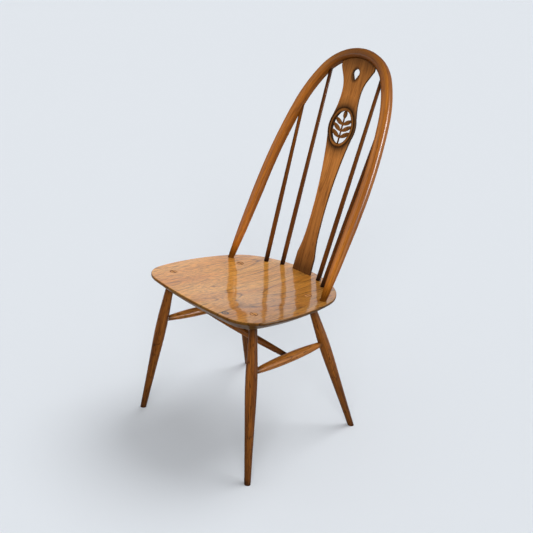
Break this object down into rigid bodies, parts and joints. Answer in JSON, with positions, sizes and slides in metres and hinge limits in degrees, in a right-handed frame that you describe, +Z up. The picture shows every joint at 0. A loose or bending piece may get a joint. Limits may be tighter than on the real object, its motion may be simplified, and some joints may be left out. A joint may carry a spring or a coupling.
{
  "type": "windsor dining chair",
  "caption": "Windsor dining chair with a dished solid seat, splayed turned legs with stretchers, a bent bow back, slender spindles and a splat pierced around a leaf sprig.",
  "frame": {"origin": "on the floor, under the middle of the chair's box", "axes": "+Z up, the sitter faces -Y, +X is the sitter's left"},
  "size_m": [0.4444, 0.5736, 0.9925],
  "materials": {
    "seat_wood": "gloss lacquer",
    "leg_wood": "satin lacquer",
    "bow_wood": "gloss lacquer",
    "splat_wood": "satin lacquer",
    "wedge_wood": "satin lacquer"
  },
  "bodies": {
    "root": {"bow": "bow_wood", "cross_stretcher": "leg_wood", "leg_back_left": "leg_wood", "leg_back_right": "leg_wood", "leg_front_left": "leg_wood", "leg_front_right": "leg_wood", "seat": "seat_wood", "side_stretcher_left": "leg_wood", "side_stretcher_right": "leg_wood", "spindle_inner_left": "bow_wood", "spindle_inner_right": "bow_wood", "spindle_outer_left": "bow_wood", "spindle_outer_right": "bow_wood", "splat": "splat_wood", "wedge_bow_left": "wedge_wood", "wedge_bow_right": "wedge_wood", "wedge_leg_back_left": "wedge_wood", "wedge_leg_back_right": "wedge_wood", "wedge_leg_front_left": "wedge_wood", "wedge_leg_front_right": "wedge_wood"}
  },
  "joints": []
}
